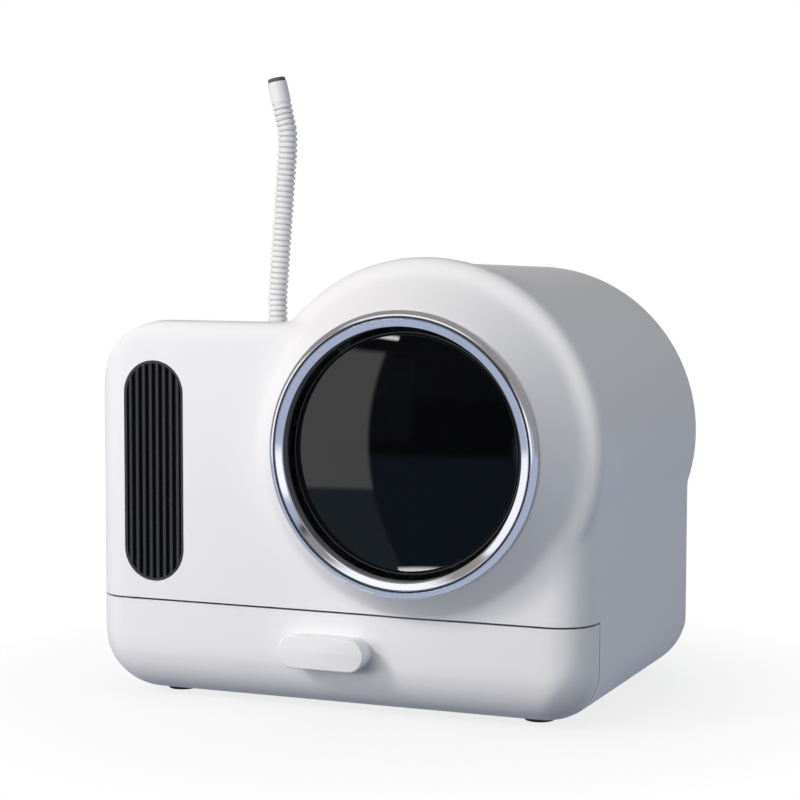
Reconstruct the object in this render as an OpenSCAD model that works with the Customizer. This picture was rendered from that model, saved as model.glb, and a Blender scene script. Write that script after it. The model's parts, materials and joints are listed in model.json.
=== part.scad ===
// Enclosed litter box with a full-width litter drawer, a round swing-flap mouth and a vent hose.
// Working axes of the modules: X to the right from the left side wall, Y back from the front
// panel, Z up from the underside. placed() moves them so that the origin lies on the floor
// under the middle of the whole box, without the hose.

/* [Body] */
// Width of the body between its flat side walls
body_w = 500; // [480:5:530]
// Depth of the body from front panel to rear wall
body_d = 380; // [360:5:420]
// Height of the left compartment above the underside, at the front
box_h = 363; // [350:1:372]
// How far the compartment's top falls from front to rear
top_fall = 22; // [12:1:28]
// Rounding of the upright corners
corner_r = 36; // [30:1:40]
// Rounding of the compartment's upper left shoulder
shoulder_r = 84; // [70:1:90]
// Rounding of the lower edges
under_r = 50; // [44:1:53]
// Rounding of the compartment's front top edge
top_edge_r = 14; // [8:1:18]
// Height of the flat right side wall, up to inside the barrel
flank_h = 240; // [225:1:246]
// Thickness of the moulded walls
wall = 3; // [2.5:0.1:3.5]

/* [Mouth and barrel] */
// Centre of the mouth from the right side wall
mouth_in = 163; // [160:1:166]
// Height of the mouth's centre above the underside
mouth_z = 247.5; // [246:0.5:252]
// Axis of the barrel from the right side wall
barrel_in = 163; // [160:1:166]
// Height of the barrel's axis above the mouth's centre
barrel_rise = 2; // [0:0.5:3]
// How far the cone round the mouth stands before the front panel
mouth_reach = 30; // [24:1:34]
// Radius of the cone's front edge
cone_tip_r = 131; // [130.5:0.1:132]
// Radius of the cone where it meets the front panel
cone_foot_r = 153; // [148:1:155]
// Radius of the soft ridge at the front of the barrel
ridge_r = 174.5; // [172:0.5:176]
// Distance of the ridge behind the front panel
ridge_y = 20; // [18:1:24]
// Radius of the barrel behind its ridge
barrel_r = 169.5; // [168:0.5:171]
// Radius of the barrel at the rear
barrel_rear_r = 169; // [167:0.5:170.5]
// Rounding of the rear edges
rear_r = 22; // [18:1:28]
// Downward tilt of the barrel's axis towards the rear, in degrees
barrel_tilt = 1.3; // [0:0.1:1.6]

/* [Flap and rings] */
// Outer radius of the bright bezel ring
bezel_r = 129.3; // [129:0.1:130.4]
// Radius of the dark groove between the two bright rings
groove_r = 123; // [122.5:0.5:124]
// Inner radius of the bright trim ring
trim_r = 114.6; // [114:0.1:115.5]
// How far the rings stand before the cone's edge
ring_depth = 8.5; // [7:0.5:10]
// Radius of the swinging flap
flap_r = 110; // [109:0.5:111]
// Thickness of the flap's rim
flap_t = 6; // [5.6:0.2:7]
// Radius of the smoked window's seat
window_r = 105.5; // [100:0.5:106]
// Rise of the domed window
dome_h = 7.5; // [4:0.5:8]
// Thickness of the window
window_t = 2.5; // [2:0.5:3]
// Height of the flap's hinge pins above the mouth's centre
hinge_rise = 95; // [94:0.5:96]
// Radius of the hinge pins
pin_r = 2; // [1.8:0.1:2.2]

/* [Drawer] */
// Height of the drawer front, up to the seam
seam_z = 95; // [92:1:97]
// Gap along the seam
seam_gap = 1.2; // [0.8:0.1:1.6]
// How far the drawer front wraps round the corners
wrap = 43; // [42:1:50]
// Height of the litter tray's underside
tray_z = 17; // [16.5:0.5:20]
// Height of the litter tray's rim
tray_top = 88; // [84:1:88]
// Thickness of the tray's walls
tray_wall = 2.5; // [2:0.25:3]
// Length of the pull
pull_w = 86; // [78:1:95]
// Height of the pull
pull_h = 33; // [30:1:36]
// How far the pull stands before the front panel
pull_d = 24; // [20:1:28]
// Height of the pull's middle above the underside
pull_z = 58; // [55:1:62]

/* [Air] */
// Middle of the grille from the left side wall
grille_x = 68.6; // [68:0.5:74]
// Height of the grille's middle above the underside
grille_z = 218; // [212:1:222]
// Width of the grille
grille_w = 63; // [58:1:66]
// Height of the grille
grille_h = 211; // [190:1:215]
// Number of upright bars in the grille
bars = 8; // [6:1:9]
// Width of the square fan
fan_w = 80; // [70:1:90]
// Hose outer diameter over the ribs
hose_d = 19.8; // [18:0.2:21]
// Hose bore
hose_bore = 13; // [11:0.5:14]
// Number of ribs on the hose
ribs = 40; // [30:1:48]
// Distance of the hose behind the front panel
hose_y = 195; // [170:5:220]
// Distance of the hose from the left side wall
hose_x = 107; // [100:1:112]

/* [Feet] */
// Height of the rubber feet
foot_h = 4; // [3:0.5:7]
// Radius of the rubber feet
foot_r = 14; // [10:0.5:15]

/* [Hidden] */

fine = 96;              // segments of drawn circles
arc_steps = 8;          // segments of a quarter turn in an outline
seat = 0.3;             // gap between a piece and its seat
run_fit = 0.06;         // radial clearance of a shaft in its bore
screw_r = 1.6;          // radius of the screw shanks
head_r = 3.2;           // radius of the screw heads
head_t = 1.8;           // thickness of the screw heads

mouth_x = body_w - mouth_in;
barrel_x = body_w - barrel_in;
barrel_z = mouth_z + barrel_rise;
origin_x = max(body_w, barrel_x + ridge_r) / 2;

module placed() {
    translate([-origin_x, -origin_y, foot_h]) children();
}

// ---------- outlines ----------

// Points of an arc about c from angle a to angle b.
function arc(c, r, a, b, n = arc_steps) =
    [for (i = [0:n]) let (t = a + (b - a) * i / n) c + r * [cos(t), sin(t)]];

// Side-to-side outline: compartment on the left, low flank on the right, moved in by e.
function front_outline(e) = concat(
    arc([under_r, under_r], under_r - e, 270, 180),
    arc([shoulder_r, box_h - shoulder_r], shoulder_r - e, 180, 90, 2 * arc_steps),
    [[mouth_x - e, box_h - e], [mouth_x - e, flank_h - e], [body_w - e, flank_h - e]],
    arc([body_w - under_r, under_r], under_r - e, 0, -90));

top_slope = atan(top_fall / body_d);

// Front-to-rear outline with its falling top, moved in by e.
function side_outline(e) = concat(
    arc([under_r, under_r], under_r - e, 270, 180),
    arc([top_edge_r, box_h - top_edge_r], top_edge_r - e, 180, 90 - top_slope),
    arc([body_d - rear_r, box_h - top_fall - rear_r], rear_r - e, 90 - top_slope, 0),
    arc([body_d - under_r, under_r], under_r - e, 0, -90));

// Plan outline with rounded corners, moved in by e.
function plan_outline(e) = concat(
    arc([corner_r, corner_r], corner_r - e, 180, 270),
    arc([body_w - corner_r, corner_r], corner_r - e, 270, 360),
    arc([body_w - corner_r, body_d - corner_r], corner_r - e, 0, 90),
    arc([corner_r, body_d - corner_r], corner_r - e, 90, 180));

// Rounded block of the body, moved in by e.
module body_block(e) {
    intersection() {
        translate([0, body_d, 0]) rotate([90, 0, 0])
            linear_extrude(body_d) polygon(front_outline(e));
        translate([0, 0, 0]) rotate([90, 0, 90])
            linear_extrude(body_w) polygon(side_outline(e));
        linear_extrude(box_h) polygon(plan_outline(e));
    }
}

// Turned solid about the mouth's axis; the profile's points are [radius, distance back].
module turned(points, x = mouth_x, z = mouth_z, tilt = 0) {
    translate([x, 0, z]) rotate([-90 - tilt, 0, 0])
        rotate_extrude($fn = 2 * fine) polygon(points);
}

cone_slope = (cone_foot_r - cone_tip_r) / mouth_reach;
ridge_step = 13;                      // the ridge's rounding
cone_back = ridge_y - 6;              // the cone runs on into the barrel's front
cone_off = wall * sqrt(1 + cone_slope * cone_slope);

// Cone round the mouth; thin = 0 is the outer face, 1 the inner one.
module mouth_cone(thin) {
    front = -mouth_reach - 2 * thin;
    back = cone_back + 2 * wall * thin;
    turned([[0, front], [cone_foot_r + cone_slope * front - cone_off * thin, front],
        [cone_foot_r + cone_slope * back - cone_off * thin, back], [0, back]]);
}

settle_y = 90;                        // where the ridge has faded into the barrel
barrel_back = body_d - barrel_rear_r * sin(barrel_tilt);

module barrel(e) {
    turned(concat([[0, ridge_y - ridge_step + e], [ridge_r - ridge_step, ridge_y - ridge_step + e]],
        [for (i = [1:arc_steps]) let (t = -90 + 90 * i / arc_steps)
            [ridge_r - ridge_step + (ridge_step - e) * cos(t), ridge_y + (ridge_step - e) * sin(t)]],
        [[barrel_r - e, settle_y]],
        [for (i = [0:arc_steps]) let (t = 90 * i / arc_steps)
            [barrel_rear_r - rear_r + (rear_r - e) * cos(t),
                barrel_back - rear_r + (rear_r - e) * sin(t)]],
        [[0, barrel_back - e]]), barrel_x, barrel_z, barrel_tilt);
}

// Upright stadium standing across Y, from y0 to y1.
module stadium_y(x, z, w, h, y0, y1) {
    translate([x, y1, z]) rotate([90, 0, 0]) linear_extrude(y1 - y0) stadium(w, h);
}

// Stadium as a flat shape; the longer side has the straight edges.
module stadium(w, h) {
    r = min(w, h) / 2;
    half_x = w / 2 - r;
    half_y = h / 2 - r;
    union() {
        square([w - (w > h ? 2 * r : 0), h - (h >= w ? 2 * r : 0)], center = true);
        for (s = [-1, 1]) translate([s * half_x, s * half_y]) circle(r, $fn = fine);
    }
}

module rod_y(x, z, r, y0, y1) {
    translate([x, y0, z]) rotate([-90, 0, 0]) cylinder(r = r, h = y1 - y0, $fn = fine);
}

module rod_x(y, z, r, x0, x1) {
    translate([x0, y, z]) rotate([0, 90, 0]) cylinder(r = r, h = x1 - x0, $fn = fine);
}

module rod_z(x, y, r, z0, z1) {
    translate([x, y, z0]) cylinder(r = r, h = z1 - z0, $fn = fine);
}

module span(low, high) {
    translate(low) cube(high - low);
}

// ---------- body shell ----------

housing_foot = 8;                     // width of the flange under the side walls
cover_x = [46, 140];                  // sides of the rear cover
cover_top_in = 19;                    // the cover's top under the rounded rear edge
cover_z = [130, box_h - top_fall - rear_r - cover_top_in];
cover_t = 2;
cover_lip = 7;                        // width of the ledge behind the cover
cover_screw_in = 3.5;                 // screws from the cover's edges
cover_frame = 3;                      // thickening of the wall round the cover's opening
cover_spots = [for (x = [cover_x[0] + cover_screw_in, cover_x[1] - cover_screw_in])
    for (z = [cover_z[0] + cover_screw_in, cover_z[1] - cover_screw_in]) [x, z]];

shelf_z = seam_z + 1;                 // underside of the compartment's shelf
shelf_t = 3;
divider_x = 150;                      // left face of the divider
divider_t = 3;

liner_y = -mouth_reach;               // front of the liner's flange
liner_flange_t = 4;
liner_r = 126;                        // inner radius of the liner's tube
liner_t = 2.6;
liner_back = 6;                       // how far the liner reaches behind the front panel

collar_r = 15;                        // outer radius of the hose collar's flange
function top_z(y) = box_h - top_edge_r + top_edge_r / cos(top_slope)
    - (y - top_edge_r) * tan(top_slope);

module housing() {
    color("whitesmoke") placed() difference() {
        union() {
            difference() {
                union() {
                    body_block(0);
                    mouth_cone(0);
                    barrel(0);
                }
                body_block(wall);
                mouth_cone(1);
                barrel(wall);
            }
            span([cover_x[0] - cover_frame, body_d - wall - cover_frame, cover_z[0] - cover_frame],
                [cover_x[1] + cover_frame, body_d - wall / 2, cover_z[1] + cover_frame]);
        }
        // bay of the drawer front
        span([-1, -1, -1], [body_w + 1, wrap + seam_gap, seam_z]);
        // open underside, inside the flange
        span([under_r + housing_foot, 0, -1],
            [body_w - under_r - housing_foot, body_d - under_r - housing_foot, wall + 1]);
        // mouth
        rod_y(mouth_x, mouth_z, liner_r + liner_t + seat, -mouth_reach - 1, liner_back);
        // grille
        stadium_y(grille_x, grille_z, grille_w + 2 * seat, grille_h + 2 * seat, -1, wall + 1);
        // rear cover: rebate and opening
        span([cover_x[0] - seat, body_d - cover_t, cover_z[0] - seat],
            [cover_x[1] + seat, body_d + 1, cover_z[1] + seat]);
        span([cover_x[0] + cover_lip, body_d - wall - cover_frame - 1, cover_z[0] + cover_lip],
            [cover_x[1] - cover_lip, body_d + 1, cover_z[1] - cover_lip]);
        for (p = cover_spots) rod_y(p[0], p[1], screw_r + run_fit,
            body_d - wall - cover_frame - 1, body_d + 1);
        // screws of the base plate
        for (p = base_screw_spots) rod_z(p[0], p[1], screw_r + run_fit, base_screw_z - 0.3, wall + 1);
        // hole and flat seat of the hose collar
        rod_z(hose_x, hose_y, collar_r - 3, top_z(hose_y) - 20, top_z(hose_y) + 5);
        rod_z(hose_x, hose_y, collar_r, collar_z, top_z(0));
    }
}

module rear_cover() {
    color("whitesmoke") placed() difference() {
        span([cover_x[0], body_d - cover_t, cover_z[0]], [cover_x[1], body_d, cover_z[1]]);
        for (p = cover_spots) rod_y(p[0], p[1], screw_r + run_fit, body_d - wall, body_d + 1);
        span([inlet_x - inlet_w / 2 - seat, body_d - cover_t - 1, inlet_z - inlet_h / 2 - seat],
            [inlet_x + inlet_w / 2 + seat, body_d + 1, inlet_z + inlet_h / 2 + seat]);
        for (i = [0:5]) stadium_y((cover_x[0] + cover_x[1]) / 2, cover_z[1] - slot_in - slot_pitch * i,
            slot_w, slot_h, body_d - cover_t - 1, body_d + 1);
    }
}

screw_back = 8;                       // length of the cover's screws
slot_in = 40;                         // top slot from the cover's top
slot_pitch = 12;
slot_w = 50;
slot_h = 4;

module cover_screws() {
    color("silver") placed() for (p = cover_spots) {
        rod_y(p[0], p[1], screw_r, body_d - screw_back, body_d);
        rod_y(p[0], p[1], head_r, body_d, body_d + head_t);
    }
}

// ---------- inner walls ----------

window_y = 170;                       // the divider's window and the fan's axis
window_z = 235;

module divider_wall() {
    color("gainsboro") placed() difference() {
        intersection() {
            body_block(wall + seat);
            span([divider_x, 0, shelf_z + shelf_t], [divider_x + divider_t, body_d, box_h]);
        }
        rod_x(window_y, window_z, fan_bore, divider_x - 1, divider_x + divider_t + 1);
        for (p = fan_screw_spots) rod_x(p[0], p[1], screw_r + run_fit,
            divider_x - 1, divider_x + divider_t + 1);
    }
}

module compartment_shelf() {
    color("gainsboro") placed() intersection() {
        body_block(wall + seat);
        span([0, 0, shelf_z], [divider_x + divider_t, body_d, shelf_z + shelf_t]);
    }
}

guard_w = 16;                         // how far the guard reaches in over the tray's rim

module litter_guard() {
    color("gainsboro") placed() difference() {
        intersection() {
            body_block(wall + seat);
            span([divider_x + divider_t + seat, 0, shelf_z], [body_w, body_d, shelf_z + shelf_t]);
        }
        span([divider_x + divider_t + seat + guard_w / 2, wall + guard_w, 0],
            [body_w - wall - guard_w, body_d - wall - guard_w, box_h]);
    }
}

// ---------- base ----------

base_t = 3;
base_z = wall + seat;                 // the plate lies on the shell's lower flange
base_in = under_r + 2;                // the plate's edges from the body's sides
base_front = max(wrap + seam_gap, under_r) + 1;
foot_in = under_r + 14;               // the feet's middles from the body's sides
foot_stem_r = 5;
foot_spots = [for (x = [foot_in, body_w - foot_in])
    for (y = [base_front + foot_r + 1, body_d - foot_in - foot_r]) [x, y]];
base_screw_z = 0.8;                   // lower end of the base plate's screws
base_screw_in = 110;                  // base plate's screws from the front and the rear
base_screw_spots = [for (x = [under_r + 4, body_w - under_r - 4])
    for (y = [base_screw_in, body_d - base_screw_in]) [x, y]];

module base_plate() {
    color("lightgray") placed() difference() {
        span([base_in, base_front, base_z], [body_w - base_in, body_d - base_in, base_z + base_t]);
        for (p = base_screw_spots) rod_z(p[0], p[1], screw_r + run_fit, 0, base_z + base_t + 1);
        for (p = foot_spots) rod_z(p[0], p[1], foot_stem_r + run_fit, 0, base_z + base_t + 1);
    }
}

module base_screws() {
    color("silver") placed() for (p = base_screw_spots) {
        rod_z(p[0], p[1], screw_r, base_screw_z, base_z + base_t);
        rod_z(p[0], p[1], head_r, base_z + base_t, base_z + base_t + head_t);
    }
}

module feet() {
    color("dimgray") placed() for (p = foot_spots) {
        rod_z(p[0], p[1], foot_r, -foot_h, 0);
        rod_z(p[0], p[1], foot_stem_r, 0, base_z + base_t);
    }
}

// ---------- drawer ----------

tray_side = 20;                       // the tray's side walls from the body's sides
tray_back = body_d - 22;
rim_out = 6.3;                        // the rim's edge from the body's sides
rim_t = 3;
runner_t = 2.5;
runner_in = 12;                       // the ledge's edge from the body's sides
runner_front = wrap + seam_gap + 2;
runner_back = body_d - corner_r;

module runner() {
    span([wall + seat, runner_front, tray_top - rim_t - seat - runner_t - 6],
        [wall + seat + runner_t, runner_back, tray_top + 2]);
    span([wall + seat, runner_front, tray_top - rim_t - seat - runner_t],
        [runner_in, runner_back, tray_top - rim_t - seat]);
}

module left_runner() {
    color("lightgray") placed() runner();
}

module right_runner() {
    color("lightgray") placed() translate([body_w, 0, 0]) mirror([1, 0, 0]) runner();
}

fascia_t = 3;
tray_screw_in = 110;                  // tray's screws from the body's sides
tray_screw_top = 19;                  // upper tray screws below the seam
tray_screw_low = 48;                  // height of the lower tray screws
tray_spots = [for (x = [tray_screw_in, body_w - tray_screw_in])
    for (z = [tray_screw_low, seam_z - tray_screw_top]) [x, z]];
pull_spots = [for (s = [-1, 1]) body_w / 2 + s * pull_w / 4];
pull_screw_up = 6;                    // pull's screws above its middle
pull_screw_z = pull_z + pull_screw_up;
pull_screw_l = 5;

module drawer_tray() {
    color("gainsboro") placed() difference() {
        union() {
            span([tray_side, tray_side, tray_z], [body_w - tray_side, tray_back, tray_top]);
            span([rim_out, runner_front, tray_top - rim_t],
                [body_w - rim_out, tray_back, tray_top]);
        }
        span([tray_side + tray_wall, tray_side + tray_wall, tray_z + tray_wall],
            [body_w - tray_side - tray_wall, tray_back - tray_wall, tray_top + 1]);
        for (p = tray_spots) rod_y(p[0], p[1], screw_r + run_fit, 0, tray_side + tray_wall + 1);
    }
}

module drawer_front() {
    color("whitesmoke") placed() difference() {
        union() {
            difference() {
                intersection() {
                    body_block(0);
                    span([0, 0, 0], [body_w, wrap, seam_z - seam_gap]);
                }
                difference() {
                    body_block(fascia_t);
                    span([0, 0, 0], [body_w, fascia_t, box_h]);
                }
            }
            for (p = tray_spots) rod_y(p[0], p[1], 5, fascia_t - 1, tray_side);
        }
        for (p = tray_spots) rod_y(p[0], p[1], screw_r + run_fit, fascia_t, tray_side + 1);
        for (x = pull_spots) rod_y(x, pull_screw_z, screw_r + run_fit, -1, fascia_t + 1);
    }
}

module tray_screws() {
    color("silver") placed() for (p = tray_spots) {
        rod_y(p[0], p[1], screw_r, fascia_t + 1, tray_side + tray_wall);
        rod_y(p[0], p[1], head_r, tray_side + tray_wall, tray_side + tray_wall + head_t);
    }
}

pull_pocket = [64, 13, 17];           // finger pocket in the pull's underside
pull_lip = 4;                         // thickness of the pull's front

module drawer_pull() {
    color("white") placed() difference() {
        stadium_y(body_w / 2, pull_z, pull_w, pull_h, -pull_d, 0);
        translate([body_w / 2 - pull_pocket[0] / 2, -pull_d + pull_lip, pull_z - pull_h / 2 - 1])
            cube([pull_pocket[0], pull_pocket[1], pull_pocket[2] + 1]);
        for (x = pull_spots) rod_y(x, pull_screw_z, screw_r + run_fit, -pull_screw_l, 1);
    }
}

module pull_screws() {
    color("silver") placed() for (x = pull_spots) {
        rod_y(x, pull_screw_z, screw_r, -pull_screw_l, fascia_t);
        rod_y(x, pull_screw_z, head_r, fascia_t, fascia_t + head_t);
    }
}

// ---------- mouth ----------

hinge_z = mouth_z + hinge_rise;
hinge_back = 7;                       // the hinge's axis behind the liner's flange
hinge_y = liner_y + liner_flange_t + hinge_back;
boss_x = 69;                          // inner face of the hinge bosses from the middle
boss_l = 8;
boss_r = 4;
liner_screw_in = 3.3;                 // liner's screws inside the groove
liner_spots = [for (a = [20, 160, 215, 325])
    [mouth_x, mouth_z] + (groove_r - liner_screw_in) * [cos(a), sin(a)]];

ring_front = -mouth_reach - ring_depth;
groove_gap = 1.2;                     // width of the dark groove
bezel_round = 2.4;                    // rounding of the bezel's outer edge
trim_sink = 1.8;                      // how far the trim ring falls towards its inner edge
trim_lip = 0.8;                       // thickness of that edge
collar_in = trim_r - 0.2;             // inner radius of the liner's collar
collar_t = 2;
collar_y = ring_front + trim_sink + trim_lip + seat;

module mouth_liner() {
    color("black") placed() difference() {
        union() {
            turned([[collar_in, collar_y], [collar_in + collar_t, collar_y],
                [collar_in + collar_t, liner_y], [liner_r + liner_t, liner_y],
                [liner_r + liner_t, liner_back], [liner_r, liner_back],
                [liner_r, liner_y + liner_flange_t], [collar_in, liner_y + liner_flange_t]]);
            for (s = [-1, 1]) translate([mouth_x + s * (boss_x + boss_l / 2) - boss_l / 2, 0, 0]) {
                rod_x(hinge_y, hinge_z, boss_r, 0, boss_l);
                span([0, liner_y + liner_flange_t / 2, hinge_z - boss_r],
                    [boss_l, hinge_y, hinge_z + boss_r]);
            }
        }
        rod_x(hinge_y, hinge_z, pin_r + run_fit, mouth_x - boss_x - boss_l - 1,
            mouth_x + boss_x + boss_l + 1);
        for (p = liner_spots) rod_y(p[0], p[1], screw_r + run_fit, liner_y - 1, 0);
        rod_z(mouth_x, keeper_y, keeper_r + run_fit, keeper_z - keeper_l - seat, keeper_z + 3);
    }
}

liner_screw_l = 5;                    // depth of the liner's screws in the trim ring

module liner_screws() {
    color("silver") placed() for (p = liner_spots) {
        rod_y(p[0], p[1], screw_r, liner_y - liner_screw_l, liner_y + liner_flange_t);
        rod_y(p[0], p[1], head_r, liner_y + liner_flange_t, liner_y + liner_flange_t + head_t);
    }
}

module bezel_ring() {
    color("silver") placed() turned(concat(
        [[groove_r + groove_gap / 2, -mouth_reach], [groove_r + groove_gap / 2, ring_front]],
        [for (i = [0:arc_steps]) let (t = -90 + 90 * i / arc_steps)
            [bezel_r - bezel_round * (1 - cos(t)), ring_front + bezel_round * (1 + sin(t))]],
        [[bezel_r, -mouth_reach]]));
}

module trim_ring() {
    outer = groove_r - groove_gap / 2;
    recess = collar_in + collar_t + seat;
    color("silver") placed() difference() {
        turned([[recess, -mouth_reach], [recess, collar_y - seat], [trim_r, collar_y - seat],
            [trim_r, collar_y - seat - trim_lip], [outer - 1, ring_front], [outer, ring_front],
            [outer, -mouth_reach]]);
        for (p = liner_spots) rod_y(p[0], p[1], screw_r + run_fit,
            liner_y - liner_screw_l, -mouth_reach + 1);
    }
}

// ---------- flap ----------

flap_front = hinge_y - flap_t / 2;
flap_back = hinge_y + flap_t / 2;
front_y = min(ring_front, flap_front - dome_h);
origin_y = (body_d + head_t + front_y) / 2;
pin_inner = 54;                       // inner end of each pin from the middle
pin_end = 0.8;                        // gap behind each pin's outer end
pin_outer = boss_x + boss_l - pin_end;
magnet_r = 1.8;
magnet_l = flap_r - window_r - 2 * seat;
lug_x = 52;                           // inner face of the flap's lugs from the middle
lug_l = 15;
lug_low = 5;                          // the lug's lower edge under the pin's axis
lug_high = 4;

// Domed surface of the window at distance r from its middle, measured back from its rim.
function dome(r) = let (ball = (window_r * window_r + dome_h * dome_h) / (2 * dome_h))
    -(sqrt(ball * ball - r * r) - (ball - dome_h));

module flap_rim() {
    color("black") placed() difference() {
        union() {
            turned([[window_r - 4, flap_front], [flap_r - 1, flap_front], [flap_r, flap_front + 1],
                [flap_r, flap_back - 1], [flap_r - 1, flap_back], [window_r - 4, flap_back]]);
            for (s = [-1, 1]) translate([mouth_x + s * (lug_x + lug_l / 2) - lug_l / 2, 0, 0])
                span([0, flap_front + 1, hinge_z - lug_low], [lug_l, flap_back, hinge_z + lug_high]);
        }
        turned([[0, flap_front - 1], [window_r + seat, flap_front - 1],
            [window_r + seat, flap_front + window_t], [0, flap_front + window_t]]);
        for (s = [-1, 1]) rod_x(hinge_y, hinge_z, pin_r + run_fit,
            mouth_x + s * (pin_inner + pin_outer) / 2 - (pin_outer - pin_inner) / 2,
            mouth_x + s * (pin_inner + pin_outer) / 2 + (pin_outer - pin_inner) / 2);
        rod_z(mouth_x, hinge_y, magnet_r + run_fit, mouth_z - flap_r - 1,
            mouth_z - flap_r + magnet_l);
    }
}

dome_steps = 14;

module flap_window() {
    color([0.1, 0.1, 0.12, 0.9]) placed() turned(concat(
        [for (i = [0:dome_steps]) let (r = window_r * i / dome_steps) [r, flap_front + dome(r)]],
        [for (i = [dome_steps:-1:0]) let (r = window_r * i / dome_steps)
            [r, flap_front + window_t + dome(r)]]));
}

module flap_pins() {
    color("silver") placed() for (s = [-1, 1]) rod_x(hinge_y, hinge_z, pin_r,
        mouth_x + s * (pin_inner + pin_outer) / 2 - (pin_outer - pin_inner) / 2,
        mouth_x + s * (pin_inner + pin_outer) / 2 + (pin_outer - pin_inner) / 2);
}

module flap_magnet() {
    color("darkgray") placed()
        rod_z(mouth_x, hinge_y, magnet_r, mouth_z - flap_r + 0.4, mouth_z - flap_r + magnet_l);
}

keeper_r = 1.4;
keeper_l = 5;
keeper_y = liner_y + liner_flange_t / 2;
keeper_z = mouth_z - collar_in - 0.4; // upper end of the keeper magnet

module keeper_magnet() {
    color("darkgray") placed()
        rod_z(mouth_x, keeper_y, keeper_r, keeper_z - keeper_l, keeper_z);
}

// ---------- grille and filter ----------

grille_y = 0.5;                       // front of the grille behind the panel's face
grille_t = 4;
bar_pitch = grille_w / (bars + 0.75);
bar_w = 3.4;
grille_rim = 2.4;
frame_in = 3;                         // the filter frame's edge inside the grille's edge
frame_wall = 2;
frame_depth = 18;

module grille() {
    color("black") placed() union() {
        difference() {
            stadium_y(grille_x, grille_z, grille_w, grille_h, grille_y, grille_y + grille_t);
            stadium_y(grille_x, grille_z, grille_w - 2 * grille_rim, grille_h - 2 * grille_rim,
                grille_y - 1, grille_y + grille_t + 1);
        }
        intersection() {
            stadium_y(grille_x, grille_z, grille_w - 2, grille_h - 2,
                grille_y, grille_y + grille_t);
            for (i = [0:bars - 1]) let (x = grille_x + (i - (bars - 1) / 2) * bar_pitch)
                span([x - bar_w / 2, grille_y, 0], [x + bar_w / 2, grille_y + grille_t, box_h]);
        }
    }
}

frame_w = grille_w - 2 * frame_in;
frame_h = grille_h - 2 * frame_in;
frame_y = grille_y + grille_t;

module filter_frame() {
    color("dimgray") placed() difference() {
        stadium_y(grille_x, grille_z, frame_w, frame_h, frame_y, frame_y + frame_depth);
        stadium_y(grille_x, grille_z, frame_w - 2 * frame_wall, frame_h - 2 * frame_wall,
            frame_y - 1, frame_y + frame_depth - frame_wall);
        stadium_y(grille_x, grille_z, frame_w - 6 * frame_wall, frame_h - 6 * frame_wall,
            frame_y, frame_y + frame_depth + 1);
    }
}

module carbon_pad() {
    color("black") placed() stadium_y(grille_x, grille_z, frame_w - 2 * frame_wall - 2 * seat,
        frame_h - 2 * frame_wall - 2 * seat, frame_y + seat, frame_y + frame_depth - frame_wall - seat);
}

// ---------- fan ----------

fan_t = 25;
fan_bore = fan_w / 2 - 2;
fan_x = divider_x - fan_t;            // left face of the fan
fan_hole = fan_w / 2 - 4.3;
fan_screw_spots = [for (y = [-1, 1]) for (z = [-1, 1])
    [window_y + y * fan_hole, window_z + z * fan_hole]];
motor_r = 13;
motor_l = 9;
spider_t = 2.5;
motor_x = divider_x - spider_t - motor_l;
shaft_r = 1.5;
hub_r = 15;
hub_l = 10;
blades = 7;
blade_gap = 0.6;                      // gap between the blades' tips and the bore
blade_chord = 20;
blade_pitch = 35;

module fan_housing() {
    color("dimgray") placed() union() {
        difference() {
            span([fan_x, window_y - fan_w / 2, window_z - fan_w / 2],
                [divider_x, window_y + fan_w / 2, window_z + fan_w / 2]);
            rod_x(window_y, window_z, fan_bore, fan_x - 1, divider_x + 1);
            for (p = fan_screw_spots) rod_x(p[0], p[1], screw_r + run_fit, fan_x - 1, divider_x + 1);
        }
        rod_x(window_y, window_z, motor_r, divider_x - spider_t, divider_x);
        for (a = [0, 120, 240]) translate([divider_x - spider_t, window_y, window_z])
            rotate([a, 0, 0]) translate([0.3, motor_r - 2, -1.5])
                cube([spider_t - 0.6, fan_bore - motor_r + 3, 3]);
    }
}

module fan_screws() {
    color("silver") placed() for (p = fan_screw_spots) {
        rod_x(p[0], p[1], screw_r, fan_x, divider_x + divider_t);
        rod_x(p[0], p[1], head_r, fan_x - head_t, fan_x);
    }
}

module fan_motor() {
    color("darkslategray") placed() difference() {
        rod_x(window_y, window_z, motor_r, motor_x, motor_x + motor_l);
        rod_x(window_y, window_z, shaft_r + run_fit, motor_x - 1, motor_x + motor_l - 1);
    }
}

module fan_rotor() {
    hub_x = motor_x - seat - hub_l;
    color("black") placed() union() {
        rod_x(window_y, window_z, hub_r, hub_x, hub_x + hub_l);
        rod_x(window_y, window_z, shaft_r, hub_x + hub_l - 1, motor_x + motor_l - 2);
        intersection() {
            rod_x(window_y, window_z, fan_bore - blade_gap, fan_x + 1, divider_x - spider_t - 1);
            translate([hub_x + hub_l / 2 + 1, window_y, window_z]) for (i = [0:blades - 1])
                rotate([360 * i / blades, 0, 0]) translate([0, 0, hub_r - 1])
                    rotate([0, 0, blade_pitch]) translate([-0.9, -blade_chord / 2, 0])
                        cube([1.8, blade_chord, fan_bore]);
        }
    }
}

// ---------- power ----------

inlet_x = 93;
inlet_z = 148;
inlet_w = 14;
inlet_h = 11;
inlet_l = 12;
socket_r = 2.75;
socket_l = 9;
board_x = [62, 124];
board_z = [160, 190];
board_t = 1.6;
board_y = body_d - 14;
post_r = 2.5;
post_in = 4;                          // board's posts from its edges
chip_in = 16;
chip_pitch = 14;
chip_up = 10;
chip_w = 9;
chip_h = 11;
chip_t = 3;

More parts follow.
